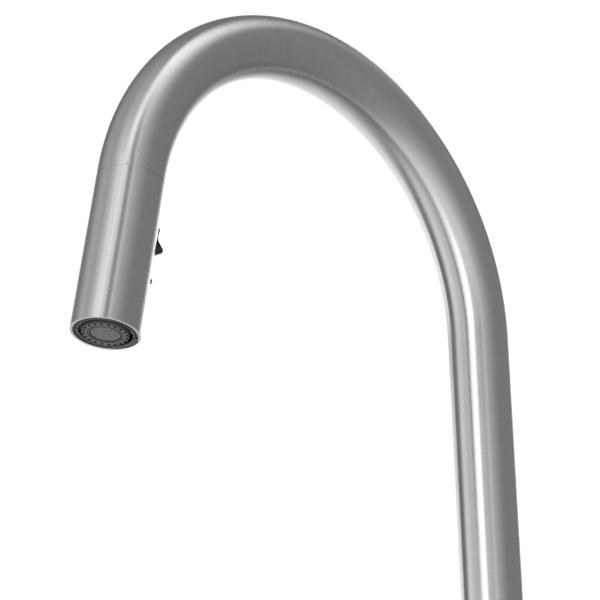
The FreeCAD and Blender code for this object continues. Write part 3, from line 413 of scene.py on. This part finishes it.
def make_hose(name, stations):
    """Closed tube of the hose's radius round its line: centre(d) + r * (cos v * outer + sin v * side),
    with the radius falling to nothing at both ends."""
    centre, outer = hose_line(stations)[:2]
    radius = np.full(len(stations), HOSE_R)
    centre = np.vstack([centre[:1], centre, centre[-1:]])
    outer = np.vstack([outer[:1], outer, outer[-1:]])
    radius = np.concatenate([[0], radius, [0]])
    v = np.linspace(0, 2 * np.pi, 40, endpoint=False)
    spoke = np.cos(v)[None, :, None] * outer[:, None] + np.sin(v)[None, :, None] * SIDE
    points = (centre[:, None] + radius[:, None, None] * spoke).reshape(-1, 3)
    piece = make_piece(name, points, quads(len(radius), 40, False, True))
    weld(piece)
    return piece


def make_hoses():
    """The hose in the column rides on the spout. The rest leaves the bend and follows the head out of
    the spout."""
    total = hose_line(np.zeros(1))[2]
    joint = total - DOCK_HOSE
    column = make_hose("spray_hose_column", np.linspace(0, joint, 180))
    low, high = total - (FOLLOW_LOW - HOSE_END), total - (FOLLOW_HIGH - HOSE_END)
    stations = [np.linspace(joint, high, 50)[:-1], np.linspace(high, low, 90), np.linspace(low, total, 8)[1:]]
    dock = make_hose("spray_hose_dock", np.concatenate(stations))
    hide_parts("spray_hose")
    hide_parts("spray_hose")
    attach(column, "spout")
    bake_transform(dock)
    return column, dock


def make_spring(name, node, body, middle, axis, reference, sizes):
    """Coil spring whose wire of radius w follows middle + R * (cos t * reference + sin t * other)
    + rise * axis: each ring is centre + w * (cos v * spoke + sin v * lift), and w falls to nothing at both
    ends."""
    coil, wire, height, turns = sizes
    axis, reference = np.asarray(axis, float), np.asarray(reference, float)
    other = np.cross(axis, reference)
    t = np.linspace(0, 2 * np.pi * turns, int(48 * turns) + 1)
    climb = (height - 2 * wire) / t[-1]
    spoke = np.cos(t)[:, None] * reference + np.sin(t)[:, None] * other
    centre = middle + coil * spoke + (climb * (t - t[-1] / 2))[:, None] * axis
    ahead = coil * (np.cos(t)[:, None] * other - np.sin(t)[:, None] * reference) + climb * axis
    lift = np.cross(ahead / np.linalg.norm(ahead, axis=1, keepdims=True), spoke)
    centre, spoke, lift = (np.vstack([a[:1], a, a[-1:]]) for a in (centre, spoke, lift))
    radius = np.full(len(centre), wire)
    radius[[0, -1]] = 0
    v = np.linspace(0, 2 * np.pi, 12, endpoint=False)[None, :, None]
    ring = np.cos(v) * spoke[:, None] + np.sin(v) * lift[:, None]
    points = centre[:, None] + radius[:, None, None] * ring
    piece = make_piece(name, points.reshape(-1, 3), quads(len(radius), 12, False, True))
    weld(piece)
    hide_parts(node)
    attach(piece, body)
    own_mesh(piece)
    return piece


def make_springs():
    """The pause button's spring behind its key, and the check valve's spring above its poppet."""
    button = RIM + BUTTON_HEIGHT * HEAD_UP + BUTTON_COIL_BACK * HEAD_BACK
    valve = np.array([0.0, 0.0, VALVE_COIL_Z])
    return (make_spring("button_coil", "button_spring", "spray_head", button,
                        HEAD_BACK, SIDE, BUTTON_COIL),
            make_spring("check_valve_coil", "check_valve_spring", "spout", valve,
                        -UP, SIDE, VALVE_COIL))


# ---- finishes ------------------------------------------------------------------------------
def finish(name, color, metallic=0.0, roughness=0.5, **sockets):
    """New material with constants on its shader's sockets; gives the material, its tree and its shader."""
    material = bpy.data.materials.new(name)
    material.use_nodes = True
    shader = material.node_tree.nodes["Principled BSDF"]
    shader.inputs["Base Color"].default_value = (*color, 1)
    shader.inputs["Metallic"].default_value = metallic
    shader.inputs["Roughness"].default_value = roughness
    for key, value in sockets.items():
        shader.inputs[key].default_value = value
    return material, material.node_tree, shader


def math_node(tree, operation, a, b=None, c=None):
    node = tree.nodes.new("ShaderNodeMath")
    node.operation = operation
    for socket, value in zip(node.inputs, (a, b, c)):
        if value is None:
            continue
        if isinstance(value, (int, float)):
            socket.default_value = value
        else:
            tree.links.new(value, socket)
    return node.outputs[0]


def vector_node(tree, operation, a, b=None, output=0):
    node = tree.nodes.new("ShaderNodeVectorMath")
    node.operation = operation
    for socket, value in zip(node.inputs, (a, b)):
        if value is None:
            continue
        if isinstance(value, (tuple, list, np.ndarray)):
            socket.default_value = tuple(value)
        else:
            tree.links.new(value, socket)
    return node.outputs[output]


def object_place(tree):
    return tree.nodes.new("ShaderNodeTexCoord").outputs["Object"]


def scaled(tree, vector, factor):
    node = tree.nodes.new("ShaderNodeVectorMath")
    node.operation = "SCALE"
    if isinstance(vector, (tuple, list, np.ndarray)):
        node.inputs[0].default_value = tuple(vector)
    else:
        tree.links.new(vector, node.inputs[0])
    if isinstance(factor, (int, float)):
        node.inputs["Scale"].default_value = factor
    else:
        tree.links.new(factor, node.inputs["Scale"])
    return node.outputs[0]


def noise(tree, vector, scale, detail=2.0, rough=0.5):
    node = tree.nodes.new("ShaderNodeTexNoise")
    node.inputs["Scale"].default_value = scale
    node.inputs["Detail"].default_value = detail
    node.inputs["Roughness"].default_value = rough
    tree.links.new(vector, node.inputs["Vector"])
    return node.outputs["Fac"]


def spread(tree, value, low, high, out_low, out_high, smooth=False):
    node = tree.nodes.new("ShaderNodeMapRange")
    node.interpolation_type = "SMOOTHSTEP" if smooth else "LINEAR"
    tree.links.new(value, node.inputs["Value"])
    for key, number in zip(("From Min", "From Max", "To Min", "To Max"), (low, high, out_low, out_high)):
        node.inputs[key].default_value = number
    return node.outputs["Result"]


def bump(tree, shader, height, strength, distance, after=None):
    node = tree.nodes.new("ShaderNodeBump")
    node.inputs["Strength"].default_value = strength
    node.inputs["Distance"].default_value = distance
    tree.links.new(height, node.inputs["Height"])
    if after is not None:
        tree.links.new(after, node.inputs["Normal"])
    tree.links.new(node.outputs[0], shader.inputs["Normal"])
    return node.outputs[0]


def mixed(tree, factor, low, high):
    node = tree.nodes.new("ShaderNodeMix")
    node.data_type = "RGBA"
    tree.links.new(factor, node.inputs["Factor"])
    node.inputs["A"].default_value = (*low, 1)
    node.inputs["B"].default_value = (*high, 1)
    return node.outputs["Result"]


def brushed_steel(name, axis=None, color=(0.62, 0.62, 0.615), roughness=0.27, fine=5200.0):
    """Stainless steel brushed round its axis: streaks are long round the piece and a fraction of a
    millimetre wide along it. The streak noise reads the place along the axis stretched, and across it
    slowly. With no axis the place along and the turn come from the piece's own grain map."""
    material, tree, shader = finish(name, color, 1.0, roughness, Anisotropic=0.90)
    if axis is None:
        map_node = tree.nodes.new("ShaderNodeUVMap")
        map_node.uv_map = "grain"
        parts = tree.nodes.new("ShaderNodeSeparateXYZ")
        tree.links.new(map_node.outputs[0], parts.inputs[0])
        turn = math_node(tree, "MULTIPLY", parts.outputs[1], 2 * math.pi)
        place = parts.outputs[0]
        join = tree.nodes.new("ShaderNodeCombineXYZ")
        for socket, wave in zip(join.inputs, ("COSINE", "SINE")):
            tree.links.new(math_node(tree, "MULTIPLY", math_node(tree, wave, turn), TUBE_R), socket)
        across = join.outputs[0]
        stretch_axis = (0.0, 0.0, 1.0)
        tangent = tree.nodes.new("ShaderNodeTangent")
        tangent.direction_type, tangent.uv_map = "UV_MAP", "grain"
        tree.links.new(tangent.outputs[0], shader.inputs["Tangent"])
    else:
        where = object_place(tree)
        place = vector_node(tree, "DOT_PRODUCT", where, axis, output=1)
        across = vector_node(tree, "SUBTRACT", where, scaled(tree, axis, place))
        stretch_axis = axis
        to_world = tree.nodes.new("ShaderNodeVectorTransform")
        to_world.vector_type, to_world.convert_from, to_world.convert_to = "VECTOR", "OBJECT", "WORLD"
        to_world.inputs[0].default_value = tuple(axis)
        tree.links.new(to_world.outputs[0], shader.inputs["Tangent"])

    def streaks(per_metre, slow, detail):
        stretch = scaled(tree, stretch_axis, math_node(tree, "MULTIPLY", place, per_metre))
        stretched = vector_node(tree, "ADD", scaled(tree, across, slow), stretch)
        return noise(tree, stretched, 1.0, detail, 0.6)

    hair = streaks(fine, 90.0, 3.0)
    band = streaks(fine / 6, 40.0, 2.0)
    soft = streaks(60.0, 30.0, 1.0)
    rough = math_node(tree, "ADD", spread(tree, hair, 0.3, 0.7, roughness - 0.02, roughness + 0.02),
                      spread(tree, band, 0.3, 0.7, -0.006, 0.006))
    rough = math_node(tree, "ADD", rough, spread(tree, soft, 0.3, 0.7, -0.012, 0.012))
    tree.links.new(rough, shader.inputs["Roughness"])
    lower, upper = tuple(c * 0.965 for c in color), tuple(min(1, c * 1.025) for c in color)
    shade = spread(tree, math_node(tree, "ADD", hair, band), 0.7, 1.3, 0, 1)
    tree.links.new(mixed(tree, shade, lower, upper), shader.inputs["Base Color"])
    first = bump(tree, shader, hair, 0.20, 0.0000012)
    bump(tree, shader, band, 0.10, 0.000005, first)
    return material


def moulded_plastic(name, color, roughness=0.45, grain_scale=5000.0, depth=0.00001, **sockets):
    """Moulded plastic: a fine spark-eroded grain in the bump and slight changes of gloss and shade."""
    material, tree, shader = finish(name, color, 0.0, roughness, **sockets)
    where = object_place(tree)
    grain = noise(tree, where, grain_scale, 3.0)
    cloud = noise(tree, where, 180.0, 2.0)
    gloss = spread(tree, cloud, 0.3, 0.7, roughness - 0.05, roughness + 0.06)
    tree.links.new(gloss, shader.inputs["Roughness"])
    tree.links.new(mixed(tree, spread(tree, cloud, 0.3, 0.7, 0, 1), tuple(c * 0.9 for c in color),
                         tuple(min(1, c * 1.1) for c in color)), shader.inputs["Base Color"])
    bump(tree, shader, grain, 0.35, depth)
    return material


def machined_metal(name, color, roughness=0.28, grooves=9000.0, axis=(0, 0, 1)):
    """Turned metal: faint tool rings along the axis and a cloudy change of gloss."""
    material, tree, shader = finish(name, color, 1.0, roughness)
    where = object_place(tree)
    place = vector_node(tree, "DOT_PRODUCT", where, axis, output=1)
    rings = noise(tree, scaled(tree, axis, math_node(tree, "MULTIPLY", place, grooves)), 1.0, 2.0)
    cloud = noise(tree, where, 120.0, 3.0)
    gloss = spread(tree, cloud, 0.3, 0.7, roughness - 0.07, roughness + 0.1)
    tree.links.new(gloss, shader.inputs["Roughness"])
    shade = spread(tree, cloud, 0.25, 0.75, 0, 1)
    tree.links.new(mixed(tree, shade, tuple(c * 0.85 for c in color), color), shader.inputs["Base Color"])
    bump(tree, shader, rings, 0.3, 0.00001)
    return material


def braided(name, axis, middle, thread=0.0011, dark=(0.030, 0.031, 0.033), light=(0.30, 0.31, 0.32)):
    """Braid of two thread sets that wind round the axis in opposite senses: set k has its threads'
    crowns where cos(n * turn +- 2 pi * place / lead) is high, and the higher of the two sets shows.
    A few threads are light."""
    material, tree, shader = finish(name, dark, 0.0, 0.55)
    axis = np.asarray(axis, float)
    first = np.array([1.0, 0.0, 0.0])
    second = np.cross(axis, first)
    where = vector_node(tree, "SUBTRACT", object_place(tree), middle)
    place = vector_node(tree, "DOT_PRODUCT", where, axis, output=1)
    turn = math_node(tree, "ARCTAN2", vector_node(tree, "DOT_PRODUCT", where, second, output=1),
                     vector_node(tree, "DOT_PRODUCT", where, first, output=1))
    along_phase = math_node(tree, "MULTIPLY", place, 2 * math.pi / (2.2 * thread))
    around_phase = math_node(tree, "MULTIPLY", turn, 12.0)
    crowns = [math_node(tree, "COSINE", math_node(tree, sign, around_phase, along_phase))
              for sign in ("ADD", "SUBTRACT")]
    half_wave = math_node(tree, "COSINE", math_node(tree, "MULTIPLY", along_phase, 0.5))
    over = math_node(tree, "GREATER_THAN", half_wave, 0.0)
    height = math_node(tree, "MAXIMUM", crowns[0], crowns[1])
    marks = math_node(tree, "GREATER_THAN", math_node(tree, "MULTIPLY", crowns[0], over), 0.8)
    tree.links.new(mixed(tree, marks, dark, light), shader.inputs["Base Color"])
    tree.links.new(spread(tree, height, -1.0, 1.0, 0.75, 0.45), shader.inputs["Roughness"])
    bump(tree, shader, height, 0.8, 0.0002)
    return material


def two_colours(name, one, other):
    """Glossy mark, one colour on one side of the lever and the other on the other, parted at y = 0."""
    material, tree, shader = finish(name, one, 0.0, 0.25)
    where = object_place(tree)
    parts = tree.nodes.new("ShaderNodeSeparateXYZ")
    tree.links.new(where, parts.inputs[0])
    tree.links.new(mixed(tree, spread(tree, parts.outputs[1], -0.0001, 0.0001, 0, 1), one, other),
                   shader.inputs["Base Color"])
    bump(tree, shader, noise(tree, where, 4000.0), 0.1, 0.000003)
    return material


def assign(material, *names):
    for name in names:
        data = NODES[name].data
        data.materials.clear()
        data.materials.append(material)


# ---- studio --------------------------------------------------------------------------------
ROOM_LIGHT = 0.198                        # strength of the room between the boxes
DARKEST = 0.02                            # the room is nowhere darker than this
CAMERA_AT = (0.67627, -0.81983, -0.07436)
CAMERA_AIM = (44.02, -20.05, -1.46)       # azimuth, elevation and roll in degrees
CAMERA_LENS = 142.77                      # millimetres, on a sensor 36 wide
FLOOR_HALF = 4.0


def build_world():
    """A white studio: soft boxes at given azimuths and elevations, in degrees, added to a dim grey room.
    A box is the product of four smooth ramps, one for each of its edges, and a flag takes light away."""
    world = bpy.data.worlds.new("studio")
    bpy.context.scene.world = world
    world.use_nodes = True
    tree = world.node_tree
    background = tree.nodes["Background"]
    output = tree.nodes["World Output"]
    direction = tree.nodes.new("ShaderNodeTexCoord").outputs["Generated"]
    parts = tree.nodes.new("ShaderNodeSeparateXYZ")
    tree.links.new(direction, parts.inputs[0])
    degrees = 180 / math.pi
    turn_east = math_node(tree, "ARCTAN2", parts.outputs[1], parts.outputs[0])
    azimuth = math_node(tree, "MULTIPLY", turn_east, degrees)
    elevation = math_node(tree, "MULTIPLY", math_node(tree, "ARCSINE", parts.outputs[2]), degrees)
    boxes = [
        # name, azimuth (start, full, full, end), elevation (start, full, full, end), radiance
        ("backdrop", (88, 123, 129, 146), (-10, 37, 35, 37), 3.09),
        ("backdrop_left", (99, 143, 187, 193), (-84, 1, 16, 21), 1.15),
        ("left_box", (-152, -133, -129, -88), (-86, -51, 24, 28), 0.88),
        ("key_box", (-99, -77, -65, -60), (-59, 6, 23, 57), 1.38),
        ("key_spill", (-115, -102, -34, -18), (-90, -88, 41, 79), 0.33),
        ("front_right", (-81, -71, -19, 19), (-90, -89, -13, 50), 0.45),
        ("right_fill", (-6, 15, 79, 85), (-91, -90, 122, 124), 0.09),
        ("overhead", (-68, -19, 63, 67), (43, 75, 95, 99), 1.46),
        ("top_spot", (-75, -55, -54, -39), (36, 40, 45, 65), 2.57),
        ("room_left", (-176, -175, -22, 25), (19, 27, 90, 95), 0.24),
        ("left_flag", (126, 129, 156, 191), (-35, 3, -1, 20), -0.23),
        ("front_flag", (-103, -55, -36, -30), (13, 38, 47, 56), -1.10),
    ]
    total = None
    for name, around, above, radiance in boxes:
        middle = (around[1] + around[2]) / 2
        turn = math_node(tree, "WRAP", math_node(tree, "SUBTRACT", azimuth, middle), 180.0, -180.0)
        a0, a1, a2, a3 = (a - middle for a in around)
        e0, e1, e2, e3 = above
        weight = spread(tree, turn, a0, a1, 0, 1, True)
        for ramp in (spread(tree, turn, a2, a3, 1, 0, True), spread(tree, elevation, e0, e1, 0, 1, True),
                     spread(tree, elevation, e2, e3, 1, 0, True)):
            weight = math_node(tree, "MULTIPLY", weight, ramp)
        total = math_node(tree, "MULTIPLY_ADD", weight, radiance, ROOM_LIGHT if total is None else total)
    tree.links.new(math_node(tree, "MAXIMUM", total, DARKEST), background.inputs["Strength"])
    background.inputs["Color"].default_value = (1, 1, 1, 1)
    plain = tree.nodes.new("ShaderNodeBackground")
    plain.inputs["Color"].default_value = (1, 1, 1, 1)
    plain.inputs["Strength"].default_value = 1.0
    switch = tree.nodes.new("ShaderNodeMixShader")
    path = tree.nodes.new("ShaderNodeLightPath")
    tree.links.new(path.outputs["Is Camera Ray"], switch.inputs[0])
    tree.links.new(background.outputs[0], switch.inputs[1])
    tree.links.new(plain.outputs[0], switch.inputs[2])
    tree.links.new(switch.outputs[0], output.inputs["Surface"])


def build_camera():
    """Camera in front, to the right and below the bend, looking up at it."""
    azimuth, elevation, roll = (math.radians(a) for a in CAMERA_AIM)
    ahead = np.array([-math.sin(azimuth) * math.cos(elevation), math.cos(azimuth) * math.cos(elevation),
                      -math.sin(elevation)])
    right = np.array([math.cos(azimuth), math.sin(azimuth), 0.0])
    above = np.cross(right, ahead)
    c, s = math.cos(roll), math.sin(roll)
    right, above = c * right + s * above, -s * right + c * above
    camera = bpy.data.objects.new("camera", bpy.data.cameras.new("camera"))
    camera.data.sensor_width = 36.0
    camera.data.lens = CAMERA_LENS
    camera.data.clip_start, camera.data.clip_end = 0.05, 20
    place = Matrix.Identity(4)
    for k in range(3):
        place[k] = (right[k], above[k], -ahead[k], CAMERA_AT[k])
    camera.matrix_world = place
    bpy.context.scene.collection.objects.link(camera)
    bpy.context.scene.camera = camera


def build_floor():
    """Pale floor at the part's lowest point. It's left out of the steel's reflections, which would
    otherwise show it in place of the boxes below the horizon."""
    low = CAD_BOX[0][2]
    points = np.array([[x, y, low] for x, y in ((-1, -1), (1, -1), (1, 1), (-1, 1))], float)
    points[:, :2] *= FLOOR_HALF
    floor = make_piece("floor", points, np.array([[0, 1, 2, 3]]))
    material, tree, shader = finish("pale_floor", (0.82, 0.82, 0.82), 0.0, 0.6)
    where = object_place(tree)
    gloss = spread(tree, noise(tree, where, 12.0, 2.0), 0.3, 0.7, 0.55, 0.65)
    tree.links.new(gloss, shader.inputs["Roughness"])
    floor.data.materials.append(material)
    floor.visible_glossy = False


# ---- build ---------------------------------------------------------------------------------
build_camera()
build_world()
build_floor()
bpy.context.scene.view_settings.view_transform = "Standard"
bpy.context.scene.view_settings.look = "None"

grain_steel = brushed_steel("brushed_stainless_tube")
column_steel = brushed_steel("brushed_stainless_body", (0, 0, 1))
side_steel = brushed_steel("brushed_stainless_side", (1, 0, 0))
face_grey = moulded_plastic("face_grey", (0.150, 0.150, 0.153), 0.42)
insert_grey = moulded_plastic("insert_grey", (0.085, 0.085, 0.087), 0.38)
core_grey = moulded_plastic("core_grey", (0.05, 0.05, 0.052), 0.5)
mesh_grey = moulded_plastic("mesh_grey", (0.30, 0.30, 0.31), 0.35)
well_black = moulded_plastic("well_black", (0.008, 0.008, 0.008), 0.6)
key_black = moulded_plastic("key_black", (0.032, 0.032, 0.033), 0.36)
rubber_black = moulded_plastic("rubber_black", (0.02, 0.02, 0.02), 0.65, 3000.0)
nylon_white = moulded_plastic("nylon_white", (0.75, 0.75, 0.72), 0.4)
ceramic = moulded_plastic("ceramic_white", (0.85, 0.84, 0.80), 0.15, 9000.0, 0.000002)
mark_colours = two_colours("mark_red_and_blue", (0.02, 0.07, 0.42), (0.50, 0.03, 0.03))
brass = machined_metal("turned_brass", (0.78, 0.60, 0.30))
steel = machined_metal("turned_steel", (0.55, 0.55, 0.56))
column_braid = braided("braid_column", (0, 0, 1), (0, 0, 0))
dock_braid = braided("braid_dock", HEAD_UP, RIM)

slots = {s["node"]: s["material_slot"] for s in frame["record"]["subparts"]}
by_slot = {"brushed_stainless": column_steel, "plain_steel": steel, "brass": brass,
           "black_rubber": rubber_black, "grey_plastic": core_grey, "dark_plastic": key_black,
           "white_plastic": nylon_white, "ceramic": ceramic, "braided_nylon": column_braid,
           "red_and_blue_plastic": mark_colours}
for node, slot in slots.items():
    assign(by_slot[slot], node)
assign(side_steel, "lever_cap", "bonnet_dome")
assign(face_grey, "spray_face")
assign(mesh_grey, "aerator_mesh")
assign(well_black, "aerator_housing")

make_spout().data.materials.append(grain_steel)
make_head_shell().data.materials.append(grain_steel)
for key in make_buttons():
    key.data.materials.append(key_black)
make_face_insert().data.materials.append(insert_grey)
make_nozzle_tips().data.materials.append(well_black)
for spring in make_springs():
    spring.data.materials.append(steel)
for hose, braid in zip(make_hoses(), (column_braid, dock_braid)):
    hose.data.materials.append(braid)
